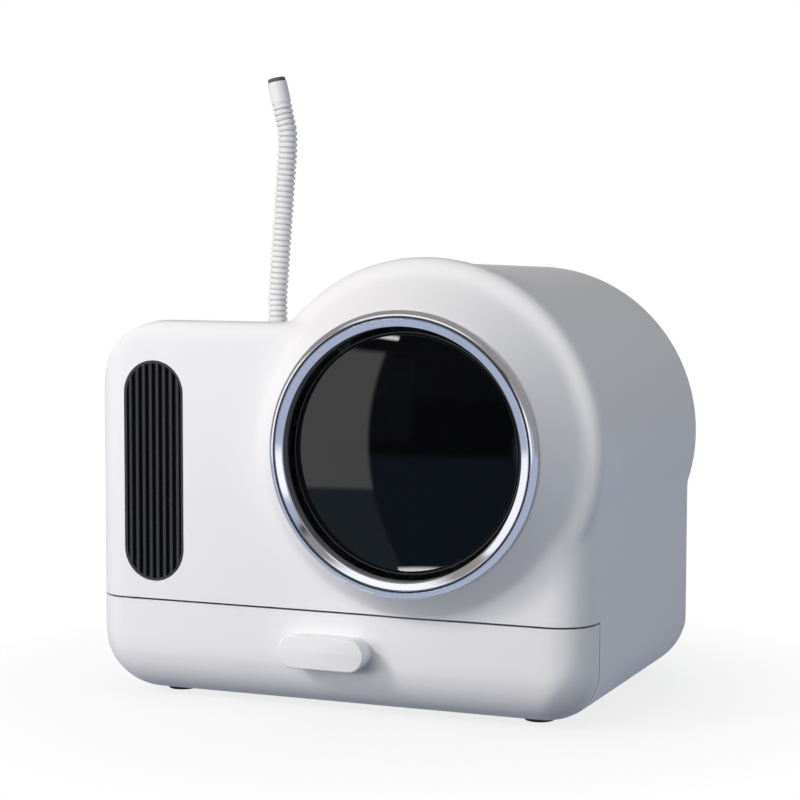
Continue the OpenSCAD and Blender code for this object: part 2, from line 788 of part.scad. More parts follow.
module dc_inlet() {
    color("black") placed() difference() {
        span([inlet_x - inlet_w / 2, body_d - inlet_l, inlet_z - inlet_h / 2],
            [inlet_x + inlet_w / 2, body_d, inlet_z + inlet_h / 2]);
        rod_y(inlet_x, inlet_z, socket_r, body_d - socket_l, body_d + 1);
    }
}

module control_board() {
    color("darkgreen") placed() union() {
        span([board_x[0], board_y, board_z[0]], [board_x[1], board_y + board_t, board_z[1]]);
        for (x = [board_x[0] + post_in, board_x[1] - post_in])
            for (z = [board_z[0] + post_in, board_z[1] - post_in])
                rod_y(x, z, post_r, board_y, body_d - cover_t);
        for (i = [0:2]) translate([board_x[0] + chip_in + chip_pitch * i, board_y - chip_t, board_z[0] + chip_up])
            cube([chip_w, chip_t + 0.5, chip_h]);
    }
}

// ---------- hose ----------

collar_h = 3;                         // height of the collar's flange
collar_z = top_z(hose_y + collar_r) - 0.2;
stub_l = 16;                          // the collar's stub below its flange

module hose_collar() {
    color("white") placed() difference() {
        union() {
            rod_z(hose_x, hose_y, collar_r - seat, collar_z, collar_z + collar_h);
            rod_z(hose_x, hose_y, collar_r - 3 - seat, collar_z - stub_l, collar_z + 1);
        }
        rod_z(hose_x, hose_y, hose_bore / 2, collar_z - stub_l - 1, collar_z + collar_h + 1);
    }
}

// Route of the hose from the collar: sideways lean and height.
hose_route = [[0, 0], [0, 13], [0, 26], [1, 39], [2, 52], [3, 65], [4, 78], [5, 91], [6, 104],
    [7, 117], [8, 130], [9, 143], [10, 156], [11, 169], [11.5, 182], [11, 195], [8, 208], [5, 221]];
hose_sides = 8;
rib_depth = 1.3;
last = len(hose_route) - 1;

// Route with one point added beyond each end.
function route(i) = i < 0 ? 2 * hose_route[0] - hose_route[1]
    : i > last ? 2 * hose_route[last] - hose_route[last - 1] : hose_route[i];

// Smooth curve through the route's points, u running from 0 to last.
function curve(u) = let (i = min(floor(u), last - 1), t = u - i,
    a = route(i - 1), b = route(i), c = route(i + 1), d = route(i + 2))
    b + 0.5 * t * (c - a + t * (2 * a - 5 * b + 4 * c - d + t * (3 * b - a - 3 * c + d)));

function heading(u) = let (v = curve(min(u + 0.05, last)) - curve(max(u - 0.05, 0))) v / norm(v);

// One ring of the hose, square to the curve.
function ring(u, r) = let (p = curve(u), h = u <= 0 ? [0, 1] : heading(u))
    [for (k = [0:hose_sides - 1]) let (a = 360 * (k + 0.5) / hose_sides)
        [hose_x + p[0] + r * cos(a) * h[1], hose_y + r * sin(a),
            collar_z + collar_h + p[1] - r * cos(a) * h[0]]];

// Two triangles for each side between ring i and ring i + 1 of a stack.
function skin(first, rings, outward) = [for (i = [0:rings - 2]) for (k = [0:hose_sides - 1])
    let (a = first + i * hose_sides + k, b = first + i * hose_sides + (k + 1) % hose_sides,
        c = a + hose_sides, d = b + hose_sides)
    for (f = outward ? [[a, c, b], [b, c, d]] : [[a, b, c], [b, d, c]]) f];

// Flat ring of triangles between an outer ring and an inner ring.
function end_face(outer, inner, up) = [for (k = [0:hose_sides - 1])
    let (a = outer + k, b = outer + (k + 1) % hose_sides,
        c = inner + k, d = inner + (k + 1) % hose_sides)
    for (f = up ? [[a, c, b], [b, c, d]] : [[a, b, c], [b, d, c]]) f];

module vent_hose() {
    outer = 2 * ribs + 1;
    inner = last + 1;
    points = concat(
        [for (i = [0:outer - 1]) each ring(last * i / (outer - 1),
            hose_d / 2 - (i % 2 == 0 ? rib_depth : 0))],
        [for (i = [0:inner - 1]) each ring(i, hose_bore / 2 + 0.2)]);
    bore = outer * hose_sides;
    color("white") placed() polyhedron(points, concat(
        skin(0, outer, true), skin(bore, inner, false),
        end_face(0, bore, false),
        end_face((outer - 1) * hose_sides, bore + (inner - 1) * hose_sides, true)));
}

cuff_l = 23;
tip_l = 4;

// Moves a piece that stands on the floor to the hose's upper end.
module at_hose_end() {
    p = curve(last);
    h = heading(last);
    translate([hose_x + p[0], hose_y, collar_z + collar_h + p[1]])
        rotate([0, atan2(h[0], h[1]), 0]) children();
}

module hose_cuff() {
    color("white") placed() at_hose_end() difference() {
        cylinder(r = hose_d / 2, h = cuff_l, $fn = fine);
        translate([0, 0, -1]) cylinder(r = hose_bore / 2, h = cuff_l + 2, $fn = fine);
    }
}

module hose_tip() {
    color("dimgray") placed() at_hose_end() translate([0, 0, cuff_l]) difference() {
        cylinder(r = hose_d / 2 - 1, h = tip_l, $fn = fine);
        translate([0, 0, -1]) cylinder(r = hose_bore / 2, h = tip_l + 2, $fn = fine);
    }
}

housing();
rear_cover();
cover_screws();
divider_wall();
compartment_shelf();
litter_guard();
base_plate();
base_screws();
feet();
left_runner();
right_runner();
drawer_tray();
drawer_front();
tray_screws();
drawer_pull();
pull_screws();
mouth_liner();
liner_screws();
bezel_ring();
trim_ring();
flap_rim();
flap_window();
flap_pins();
flap_magnet();
keeper_magnet();
grille();
filter_frame();
carbon_pad();
fan_housing();
fan_screws();
fan_motor();
fan_rotor();
control_board();
dc_inlet();
hose_collar();
vent_hose();
hose_cuff();
hose_tip();
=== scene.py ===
# Enclosed litter box with a full-width litter drawer, a round smoked flap between two chrome rings,
# a black air grille and a ribbed vent hose. The pieces are modelled in design millimetres:
# X to the right from the left side wall, Y back from the front panel, Z up from the underside.
# at() turns them into metres on the floor under the middle of the box.
import json
import math

import bpy
from mathutils import Matrix, Vector


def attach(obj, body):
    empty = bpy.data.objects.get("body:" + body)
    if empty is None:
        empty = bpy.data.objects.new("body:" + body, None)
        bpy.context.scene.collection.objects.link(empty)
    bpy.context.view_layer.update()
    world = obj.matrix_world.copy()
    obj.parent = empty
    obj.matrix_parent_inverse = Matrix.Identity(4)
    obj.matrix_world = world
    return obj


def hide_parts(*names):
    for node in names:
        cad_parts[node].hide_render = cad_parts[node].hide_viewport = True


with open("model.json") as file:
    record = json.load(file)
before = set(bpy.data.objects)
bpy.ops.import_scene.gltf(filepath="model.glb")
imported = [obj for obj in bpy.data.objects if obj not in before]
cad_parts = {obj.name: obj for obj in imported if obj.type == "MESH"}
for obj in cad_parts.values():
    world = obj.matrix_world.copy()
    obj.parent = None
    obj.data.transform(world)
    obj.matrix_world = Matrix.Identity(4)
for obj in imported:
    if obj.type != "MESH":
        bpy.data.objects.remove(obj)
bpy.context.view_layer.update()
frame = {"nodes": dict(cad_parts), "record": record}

MM = 0.001
ORIGIN = Vector((255.75, 171.65, -4.0))


def at(x, y, z):
    return (Vector((x, y, z)) - ORIGIN) * MM


# ---------- sizes, in millimetres ----------
BODY_W, BODY_D, BOX_H = 500, 380, 363
TOP_FALL = 22
SHOULDER_R, UNDER_R, CORNER_R = 84, 50, 36
TOP_EDGE_R, REAR_R = 14, 22
FLANK_H = 240
WALL = 3
MOUTH_X, MOUTH_Z = 337, 247.5
BARREL_X, BARREL_Z, BARREL_TILT = 337, 249.5, 1.3
RIDGE_R, RIDGE_Y, RIDGE_STEP = 174.5, 20, 13
BARREL_R, BARREL_REAR_R = 169.5, 169
CONE_TIP_R, CONE_FOOT_R, MOUTH_REACH = 131, 153, 30
SEAM_Z, SEAM_GAP, WRAP = 95.3, 1.9, 43
LINER_OUT = 128.6
RING_FRONT = -38.5
GROOVE_R, BEZEL_R, TRIM_R = 123, 129.3, 114.6
FLAP_R, FLAP_FRONT, FLAP_BACK = 110, -22, -16
WINDOW_R, WINDOW_T, DOME_H = 108.2, 2.5, 7.5
HINGE_Y, HINGE_RISE = -19, 95
PULL_X, PULL_W, PULL_H, PULL_D, PULL_Z = 252.5, 86, 30.6, 23, 58.9
GRILLE_X, GRILLE_Z, GRILLE_W, GRILLE_H = 68.6, 218, 63, 211
HOSE_X, HOSE_Y, HOSE_D, HOSE_BORE = 107, 195, 19.8, 13
TOP_SLOPE = math.atan(TOP_FALL / BODY_D)


def top_z(y):
    return (BOX_H - TOP_EDGE_R + TOP_EDGE_R / math.cos(TOP_SLOPE)
            - (y - TOP_EDGE_R) * math.tan(TOP_SLOPE))


COLLAR_R, COLLAR_H = 15, 3
COLLAR_Z = top_z(HOSE_Y + COLLAR_R) - 0.2
HOSE_ROUTE = [(0, 0), (0, 13), (0, 26), (1, 39), (2, 52), (3, 65), (4, 78), (5, 91), (6, 104),
              (7, 117), (8, 130), (9, 143), (10, 156), (11, 169), (11.5, 182), (11, 195),
              (8, 208), (5, 221)]

# What chrome and glass show of the studio: (turn from, to), (height from, to), soft edge, colour.
PAPER, BROWN = (0.53, 0.59, 0.74, 1), (0.40, 0.37, 0.34, 1)
DARK, DUSK = (0.03, 0.032, 0.04, 1), (0.09, 0.13, 0.21, 1)
CARDS = (
    ((-400, 400), (-90, -3), 3, PAPER),                 # bluish paper on the floor, all round
    ((-4, 60), (-60, 9), 2, PAPER),                     # bluish wall ahead
    ((-40, -4), (-24, 9.3), 0.6, DARK),                 # dark doorway
    ((-37, -13), (9, 12.6), 0.6, DARK),                 # its top
    ((-30, -4), (-24, -6), 0.8, DUSK),                  # dusky floor seen through it
    ((-7, 60), (-26, -14), 0.5, PAPER),                 # its lower right corner, cut in steps
    ((-10.3, 60), (-26, -17.6), 0.5, PAPER),
    ((-15, 60), (-26, -21), 0.5, PAPER),
    ((-41.5, -28), (-24, -11), 0.5, (0.25, 0.32, 0.40, 1)),   # dim table under the window
    ((-60, -28), (-11, 9), 0.5, (1.3, 1.3, 1.3, 1)),    # bright window
    ((-90, -43), (-90, -7), 1, PAPER),                  # bluish paper beside the table
    ((-2, 7), (-6, 3), 1.5, (1.4, 1.4, 1.4, 1)),        # small white card
    ((-40, -10), (14.5, 22), 1.2, (1.4, 1.4, 1.4, 1)),  # white card overhead
    ((-31.8, -26.8), (10.95, 11.4), 0.2, (14, 14, 14, 1)),     # narrow lamp
    ((-28.8, -20.3), (-23.4, -22.7), 0.25, (14, 14, 14, 1)))  # sunlit strip of the floor

# ---------- camera ----------
YAW, DOWN, ROLL = 0.388957802, 0.0754939674, 0.00216815
VIEW_POINT = at(1058.47, -1795.33, 440.48)
looks = Vector((-math.sin(YAW) * math.cos(DOWN), math.cos(YAW) * math.cos(DOWN), -math.sin(DOWN)))
right = Vector((math.cos(YAW), math.sin(YAW), 0))
up = right.cross(looks)
camera_data = bpy.data.cameras.new("photo_camera")
camera_data.sensor_width = 36
camera_data.lens = 36 * 2144.63 / 800
camera = bpy.data.objects.new("photo_camera", camera_data)
bpy.context.scene.collection.objects.link(camera)
turned_right = right * math.cos(ROLL) + up * math.sin(ROLL)
turned_up = up * math.cos(ROLL) - right * math.sin(ROLL)
camera.matrix_world = Matrix((
    (turned_right.x, turned_up.x, -looks.x, VIEW_POINT.x),
    (turned_right.y, turned_up.y, -looks.y, VIEW_POINT.y),
    (turned_right.z, turned_up.z, -looks.z, VIEW_POINT.z),
    (0, 0, 0, 1)))
bpy.context.scene.camera = camera


# ---------- modelling ----------
def deselect_everything():
    if bpy.context.object and bpy.context.object.mode != "OBJECT":
        bpy.ops.object.mode_set(mode="OBJECT")
    bpy.ops.object.select_all(action="DESELECT")


def work_on(piece):
    deselect_everything()
    piece.select_set(True)
    bpy.context.view_layer.objects.active = piece
    return piece


def finish_modifier(piece, kind, **settings):
    """Adds a modifier, sets it and applies it."""
    work_on(piece)
    modifier = piece.modifiers.new("shape", kind)
    for name, value in settings.items():
        setattr(modifier, name, value)
    bpy.ops.object.modifier_apply(modifier=modifier.name)
    return piece


def block(name, low, high):
    """Box between two design points."""
    deselect_everything()
    a, b = at(*low), at(*high)
    bpy.ops.mesh.primitive_cube_add(size=1, location=(a + b) / 2)
    piece = bpy.context.object
    piece.name = name
    piece.scale = b - a
    bpy.ops.object.transform_apply(location=True, rotation=True, scale=True)
    return piece


def pick_edges(piece, wanted):
    """Selects the edges whose two ends are both wanted, by their design point."""
    work_on(piece)
    bpy.ops.object.mode_set(mode="EDIT")
    bpy.ops.mesh.select_mode(type="EDGE")
    bpy.ops.mesh.select_all(action="DESELECT")
    bpy.ops.object.mode_set(mode="OBJECT")
    design = [v.co / MM + ORIGIN for v in piece.data.vertices]
    for edge in piece.data.edges:
        edge.select = all(wanted(design[v]) for v in edge.vertices)
    bpy.ops.object.mode_set(mode="EDIT")


def round_edges(piece, wanted, radius, segments):
    pick_edges(piece, wanted)
    bpy.ops.mesh.bevel(offset=radius * MM, segments=segments, profile=0.5, affect="EDGES",
                       offset_type="OFFSET")
    bpy.ops.object.mode_set(mode="OBJECT")
    return piece


def round_corners(piece, xs, ys, radius, segments=10):
    """Rounds the upright edges that stand at these design x and y."""
    for x in xs:
        for y in ys:
            round_edges(piece, lambda p: abs(p.x - x) < 0.1 and abs(p.y - y) < 0.1, radius, segments)
    return piece


def copy_of(piece, name):
    """A copy with its own mesh."""
    twin = piece.copy()
    twin.data = piece.data.copy()
    twin.name = name
    bpy.context.scene.collection.objects.link(twin)
    return twin


def combine(piece, other, how, solver="MANIFOLD", keep=False):
    finish_modifier(piece, "BOOLEAN", object=other, operation=how, solver=solver)
    if not keep:
        bpy.data.objects.remove(other)
    return piece


def join(name, pieces):
    deselect_everything()
    for piece in pieces:
        piece.select_set(True)
    bpy.context.view_layer.objects.active = pieces[0]
    bpy.ops.object.join()
    pieces[0].name = name
    return pieces[0]


def lathe(name, profile, place, steps=192):
    """Profile of (radius, height) points turned about the local Z axis, then moved to its place."""
    deselect_everything()
    bpy.ops.mesh.primitive_plane_add(size=0.001, location=(0, 0, 0))
    piece = bpy.context.object
    piece.name = name
    bpy.ops.object.mode_set(mode="EDIT")
    bpy.ops.mesh.select_mode(type="VERT")
    bpy.ops.mesh.select_all(action="SELECT")
    bpy.ops.mesh.merge(type="CENTER")
    bpy.ops.mesh.select_all(action="SELECT")
    bpy.ops.transform.translate(value=(profile[0][0] * MM, 0, profile[0][1] * MM))
    for a, b in zip(profile, profile[1:]):
        step = ((b[0] - a[0]) * MM, 0, (b[1] - a[1]) * MM)
        bpy.ops.mesh.extrude_region_move(TRANSFORM_OT_translate={"value": step})
    bpy.ops.mesh.select_all(action="SELECT")
    bpy.ops.mesh.spin(steps=steps, angle=2 * math.pi, center=(0, 0, 0), axis=(0, 0, 1))
    bpy.ops.mesh.select_all(action="SELECT")
    bpy.ops.mesh.remove_doubles(threshold=0.000002)
    bpy.ops.mesh.select_all(action="SELECT")
    bpy.ops.mesh.normals_make_consistent(inside=False)
    bpy.ops.object.mode_set(mode="OBJECT")
    piece.data.transform(place)
    return piece


def back_from(x, z, tilt=0.0):
    """Place whose local Z runs backwards through (x, *, z), for what turns about the mouth."""
    return Matrix.Translation(at(x, 0, z)) @ Matrix.Rotation(math.radians(-90 - tilt), 4, "X")


def upright(x, y, z):
    return Matrix.Translation(at(x, y, z))


def arc(cx, cy, r, a, b, n):
    return [(cx + r * math.cos(math.radians(a + (b - a) * i / n)),
             cy + r * math.sin(math.radians(a + (b - a) * i / n))) for i in range(n + 1)]


def ring_profile(r0, r1, h0, h1, bevel, n=4):
    """Closed rectangular ring profile with rounded edges, from inner radius r0 to outer r1."""
    points = (arc(r0 + bevel, h0 + bevel, bevel, 180, 270, n) + arc(r1 - bevel, h0 + bevel, bevel, 270, 360, n)
              + arc(r1 - bevel, h1 - bevel, bevel, 0, 90, n) + arc(r0 + bevel, h1 - bevel, bevel, 90, 180, n))
    return points + points[:1]


def stadium(name, x, z, w, h, y0, y1, segments=24):
    """Upright stadium standing across Y."""
    piece = block(name, (x - w / 2, y0, z - h / 2), (x + w / 2, y1, z + h / 2))
    r = min(w, h) / 2 - 0.01
    for sx in (-1, 1):
        for sz in (-1, 1):
            round_edges(piece, lambda p: abs(p.x - x - sx * w / 2) < 0.1 and abs(p.z - z - sz * h / 2) < 0.1,
                        r, segments)
    return piece


def soften(piece, width, segments=3, angle=30):
    """Rounds every edge sharper than the angle."""
    return finish_modifier(piece, "BEVEL", width=width * MM, segments=segments,
                           limit_method="ANGLE", angle_limit=math.radians(angle),
                           use_clamp_overlap=True)


def smooth(piece, angle=35):
    work_on(piece)
    bpy.ops.object.shade_smooth_by_angle(angle=math.radians(angle))
    return piece


def tidy_copy(node, name):
    """A merged copy of a CAD node, ready to be rounded."""
    piece = copy_of(frame["nodes"][node], name)
    for key in list(piece.keys()):
        del piece[key]
    piece.parent = None
    work_on(piece)
    bpy.ops.object.mode_set(mode="EDIT")
    bpy.ops.mesh.select_all(action="SELECT")
    bpy.ops.mesh.remove_doubles(threshold=0.000005)
    bpy.ops.mesh.dissolve_limited(angle_limit=math.radians(0.5))
    bpy.ops.object.mode_set(mode="OBJECT")
    return piece


# ---------- finishes ----------
def linear(hex_colour):
    """sRGB hex to linear red, green, blue and alpha."""
    parts = [int(hex_colour[i:i + 2], 16) / 255 for i in (1, 3, 5)]
    return [c / 12.92 if c <= 0.04045 else ((c + 0.055) / 1.055) ** 2.4 for c in parts] + [1.0]


def add_node(tree, kind, settings=None, inputs=None):
    """Adds a node; settings are its properties, inputs are values or output sockets by name."""
    node = tree.nodes.new(kind)
    for name, value in (settings or {}).items():
        setattr(node, name, value)
    for name, value in (inputs or {}).items():
        socket = node.inputs[name]
        if isinstance(value, bpy.types.NodeSocket):
            tree.links.new(value, socket)
        else:
            socket.default_value = value
    return node


def finish(name, **surface):
    """A new material with one Principled surface and its object coordinates."""
    material = bpy.data.materials.new(name)
    material.use_nodes = True
    tree = material.node_tree
    tree.nodes.clear()
    shader = add_node(tree, "ShaderNodeBsdfPrincipled", None, surface)
    add_node(tree, "ShaderNodeOutputMaterial", None, {"Surface": shader.outputs[0]})
    place = add_node(tree, "ShaderNodeTexCoord").outputs["Object"]
    return material, tree, shader, place


def grain(tree, shader, place, size_mm, depth_mm, strength=1.0, detail=2.0):
    """Fine raised grain of that size, in millimetres, on the surface."""
    noise = add_node(tree, "ShaderNodeTexNoise", None,
                     {"Vector": place, "Scale": 1 / (size_mm * MM), "Detail": detail})
    bump = add_node(tree, "ShaderNodeBump", None,
                    {"Height": noise.outputs["Fac"], "Distance": depth_mm * MM, "Strength": strength})
    tree.links.new(bump.outputs["Normal"], shader.inputs["Normal"])
    return noise


# Moulded ABS, satin: an even soft white with a broad faint sheen.
shell_abs, tree, shader, place = finish(
    "moulded_white_abs", **{"Base Color": linear("#F0F0F2"), "Roughness": 0.42, "IOR": 1.53,
                            "Specular IOR Level": 0.4})
grain(tree, shader, place, 1.2, 0.01, 0.25)

# The pull is the same ABS from a polished mould: a little brighter edge line.
pull_abs, tree, shader, place = finish(
    "polished_white_abs", **{"Base Color": linear("#F1F1F3"), "Roughness": 0.28, "IOR": 1.53})
grain(tree, shader, place, 1.5, 0.006, 0.2)

# Natural grey-white polypropylene, moulded: waxier and darker than the shell.
inner_pp, tree, shader, place = finish(
    "moulded_grey_polypropylene", **{"Base Color": linear("#D2D4D8"), "Roughness": 0.5, "IOR": 1.49})
grain(tree, shader, place, 0.9, 0.02, 0.3)

# Bright chrome plate on ABS: mirror reflections, faintly cool.
chrome, tree, shader, place = finish(
    "bright_chrome_plate", **{"Base Color": linear("#D6D8E0"), "Metallic": 1.0, "Roughness": 0.07})
grain(tree, shader, place, 9.0, 0.01, 0.12)

# Smoked acrylic, vacuum formed and polished: near black with sharp highlights.
smoked, tree, shader, place = finish(
    "smoked_acrylic", **{"Base Color": linear("#16171A"), "Roughness": 0.015, "IOR": 1.49,
                         "Transmission Weight": 0.85})

# Black ABS of the flap's rim from a half-polished mould: reads as a dark grey line round the window.
rim_black, tree, shader, place = finish(
    "half_polished_black_abs", **{"Base Color": linear("#2C2C2E"), "Roughness": 0.35, "IOR": 1.53})
grain(tree, shader, place, 1.4, 0.006, 0.2)

# Satin black ABS of grille and liner: greyish where the light grazes it.
satin_black, tree, shader, place = finish(
    "satin_black_abs", **{"Base Color": linear("#1B1B1C"), "Roughness": 0.45, "IOR": 1.53})
grain(tree, shader, place, 0.8, 0.02, 0.3)

# Fine-textured black ABS of the mouth liner, painted a lighter grey to stand in for the light that hardly reaches it:
# its collar shows as a grey band round the flap.
liner_abs, tree, shader, place = finish(
    "fine_textured_black_abs_painted_lighter", **{"Base Color": linear("#78787A"), "Roughness": 0.5, "IOR": 1.53})
grain(tree, shader, place, 0.7, 0.02, 0.3)

# The grille's bars look lighter in the light than the frame behind them: that light is painted in, as a lighter grey
# than the frame's black ABS.
grille_black, tree, shader, place = finish(
    "moulded_black_abs_painted_lit", **{"Base Color": linear("#2C2C2E"), "Roughness": 0.42, "IOR": 1.53})
grain(tree, shader, place, 0.8, 0.02, 0.3)

# Corrugated low-density polyethylene: milky white ribs, with painted shade in the grooves between them, a darker grey
# where the surface is hollow.
hose_pe, tree, shader, place = finish(
    "corrugated_white_polyethylene", **{"Roughness": 0.4, "IOR": 1.51})
# Painted shade: pointiness picks out the hollow grooves and colours them grey.
hollows = add_node(tree, "ShaderNodeNewGeometry").outputs["Pointiness"]
painted_groove_shade_mask = add_node(tree, "ShaderNodeMapRange", {"clamp": True},
                     {"Value": hollows, "From Min": 0.42, "From Max": 0.495, "To Min": 0.0, "To Max": 1.0})
painted_groove_shade_tone = add_node(tree, "ShaderNodeMix", {"data_type": "RGBA"},
                    {0: painted_groove_shade_mask.outputs[0], 6: linear("#6E7178"), 7: linear("#EDEDEF")})
tree.links.new(painted_groove_shade_tone.outputs[2], shader.inputs["Base Color"])

# Moulded rubber: dull dark grey.
rubber, tree, shader, place = finish(
    "moulded_black_rubber", **{"Base Color": linear("#232325"), "Roughness": 0.75, "IOR": 1.52})
grain(tree, shader, place, 0.7, 0.03, 0.4)

# The hose's tip: paler rubber, so that its open end reads as a soft grey rim.
tip_rubber, tree, shader, place = finish(
    "moulded_grey_rubber", **{"Base Color": linear("#5E5E60"), "Roughness": 0.7, "IOR": 1.52})
grain(tree, shader, place, 0.7, 0.03, 0.4)

# Zinc-plated steel of the screws: soft cool shine.
zinc, tree, shader, place = finish(
    "zinc_plated_steel", **{"Base Color": linear("#B4B7BC"), "Metallic": 1.0, "Roughness": 0.34})
grain(tree, shader, place, 0.3, 0.005, 0.3)

# Nickel-plated magnets.
nickel, tree, shader, place = finish(
    "nickel_plated_magnet", **{"Base Color": linear("#B8B4AC"), "Metallic": 1.0, "Roughness": 0.2})

# Activated-carbon foam: open cells about 1.5 mm wide, nearly black.
carbon, tree, shader, place = finish(
    "activated_carbon_foam", **{"Base Color": linear("#111112"), "Roughness": 0.95})
cells = add_node(tree, "ShaderNodeTexVoronoi", None, {"Vector": place, "Scale": 1 / (1.5 * MM)})
pits = add_node(tree, "ShaderNodeBump", None, {"Height": cells.outputs["Distance"],
                                               "Distance": 0.8 * MM, "Strength": 0.9})
tree.links.new(pits.outputs["Normal"], shader.inputs["Normal"])

# Green solder-masked laminate of the control board.
board_green, tree, shader, place = finish(
    "solder_masked_laminate", **{"Base Color": linear("#1F5A33"), "Roughness": 0.35})

# Coated steel can of the fan motor.
motor_steel, tree, shader, place = finish(
    "coated_steel_can", **{"Base Color": linear("#3A3C40"), "Metallic": 0.6, "Roughness": 0.4})

FINISH_OF_SLOT = {
    "shell_white": shell_abs, "pull_white": pull_abs, "inner_grey": inner_pp, "screw_steel": zinc,
    "hinge_steel": zinc, "magnet_nickel": nickel, "foot_rubber": rubber, "chrome_ring": chrome,
    "liner_black": liner_abs, "flap_black": rim_black, "smoked_window": smoked,
    "grille_black": grille_black, "frame_black": satin_black, "carbon_foam": carbon,
    "fan_black": satin_black, "motor_steel": motor_steel, "board_green": board_green,
    "inlet_black": satin_black, "hose_white": hose_pe, "tip_grey": tip_rubber}
slot_of = {p["node"]: p["material_slot"] for p in frame["record"]["subparts"]}
for node, cad in frame["nodes"].items():
    cad.data.materials.clear()
    cad.data.materials.append(FINISH_OF_SLOT[slot_of[node]])


def place_piece(piece, body, nodes, material):
    """Gives a finished piece its finish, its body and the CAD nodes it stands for."""
    piece.data.materials.clear()
    piece.data.materials.append(material)
    for face in piece.data.polygons:
        face.material_index = 0
    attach(piece, body)
    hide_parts(*nodes)
    return piece


# ---------- vent hose ----------
def route_point(i):
    last = len(HOSE_ROUTE) - 1
    if i < 0:
        a, b = HOSE_ROUTE[0], HOSE_ROUTE[1]
    elif i > last:
        a, b = HOSE_ROUTE[last], HOSE_ROUTE[last - 1]
    else:
        return Vector(HOSE_ROUTE[i])
    return 2 * Vector(a) - Vector(b)


def hose_curve(u):
    """Smooth curve through the route's points."""
    i = min(int(u), len(HOSE_ROUTE) - 2)
    t = u - i
    a, b, c, d = (route_point(i + k) for k in (-1, 0, 1, 2))
    return b + 0.5 * t * (c - a + t * (2 * a - 5 * b + 4 * c - d + t * (3 * b - a - 3 * c + d)))


def hose_place(u, along=0.0):
    """Place whose local Z follows the hose at u, moved on by along millimetres."""
    last = len(HOSE_ROUTE) - 1
    p = hose_curve(u)
    h = (hose_curve(min(u + 0.05, last)) - hose_curve(max(u - 0.05, 0))).normalized()
    q = p + h * along
    return (Matrix.Translation(at(HOSE_X + q[0], HOSE_Y, COLLAR_Z + COLLAR_H + q[1]))
            @ Matrix.Rotation(math.atan2(h[0], h[1]), 4, "Y"))


ROUTE_STEPS = 10
line_data = bpy.data.curves.new("hose_line", "CURVE")
line_data.dimensions = "3D"
spline = line_data.splines.new("POLY")
line_points = [hose_curve(i / ROUTE_STEPS) for i in range(ROUTE_STEPS * (len(HOSE_ROUTE) - 1) + 1)]
hose_path = [at(HOSE_X + p[0], HOSE_Y, COLLAR_Z + COLLAR_H + p[1]) for p in line_points]
hose_length = sum((b - a).length for a, b in zip(hose_path, hose_path[1:]))
spline.points.add(len(hose_path) - 1)
for point, p in zip(spline.points, hose_path):
    point.co = (p.x, p.y, p.z, 1)
hose_line = bpy.data.objects.new("hose_line", line_data)
bpy.context.scene.collection.objects.link(hose_line)

RIBS = 40
pitch = hose_length / MM / RIBS
rib_shape = [(0.0, -1.75), (0.1, -1.65), (0.17, -0.8), (0.24, -0.2), (0.36, 0.0), (0.64, 0.0), (0.76, -0.2),
             (0.83, -0.8), (0.9, -1.65)]
hose_profile = [(HOSE_BORE / 2 + 0.2, 0)]
for i in range(RIBS):
    hose_profile += [(HOSE_D / 2 - 0.05 + d, (i + s) * pitch) for s, d in rib_shape]
hose_profile += [(HOSE_D / 2 - 1.4, RIBS * pitch), (HOSE_BORE / 2 + 0.2, RIBS * pitch)]
hose_profile += [(HOSE_BORE / 2 + 0.2, RIBS * pitch * i / 40) for i in range(39, -1, -1)]
vent_hose = lathe("ribbed_vent_hose", hose_profile, Matrix.Identity(4), steps=40)
finish_modifier(vent_hose, "CURVE", object=hose_line, deform_axis="POS_Z")
bpy.data.objects.remove(hose_line)
smooth(vent_hose, 60)
place_piece(vent_hose, "body", ["vent_hose"], hose_pe)

last_u = len(HOSE_ROUTE) - 1
CUFF_L, TIP_L = 23, 4
cuff_profile = ([(HOSE_BORE / 2, 0)] + [(HOSE_D / 2 - 0.9, 0), (HOSE_D / 2 - 0.9, 1.2)]
                + arc(HOSE_D / 2 - 0.5, 1.9, 0.5, -60, 0, 3) + [(HOSE_D / 2, 4)]
                + [(HOSE_D / 2 - 0.1, CUFF_L - 3)] + arc(HOSE_D / 2 - 0.7, CUFF_L - 0.7, 0.7, 0, 90, 4)
                + [(HOSE_BORE / 2 + 0.6, CUFF_L), (HOSE_BORE / 2, CUFF_L - 0.6), (HOSE_BORE / 2, 0)])
hose_cuff = smooth(lathe("smooth_hose_cuff", cuff_profile, hose_place(last_u), steps=64), 40)
place_piece(hose_cuff, "body", ["hose_cuff"], hose_pe)
tip_profile = ring_profile(HOSE_BORE / 2, HOSE_D / 2 - 1, 0, TIP_L, 0.5)
hose_tip = smooth(lathe("rubber_hose_tip", tip_profile, hose_place(last_u, CUFF_L), steps=64), 40)
place_piece(hose_tip, "body", ["hose_tip"], tip_rubber)

collar_profile = ([(HOSE_BORE / 2, -16), (COLLAR_R - 3.3, -16), (COLLAR_R - 3.3, 0)]
                  + [(COLLAR_R - 0.3, 0)] + arc(COLLAR_R - 1.5, COLLAR_H - 1.2, 1.2, 0, 90, 5)
                  + [(HOSE_BORE / 2, COLLAR_H), (HOSE_BORE / 2, -16)])
hose_collar = smooth(lathe("hose_collar_ring", collar_profile, upright(HOSE_X, HOSE_Y, COLLAR_Z), steps=64))
place_piece(hose_collar, "body", ["hose_collar"], hose_pe)

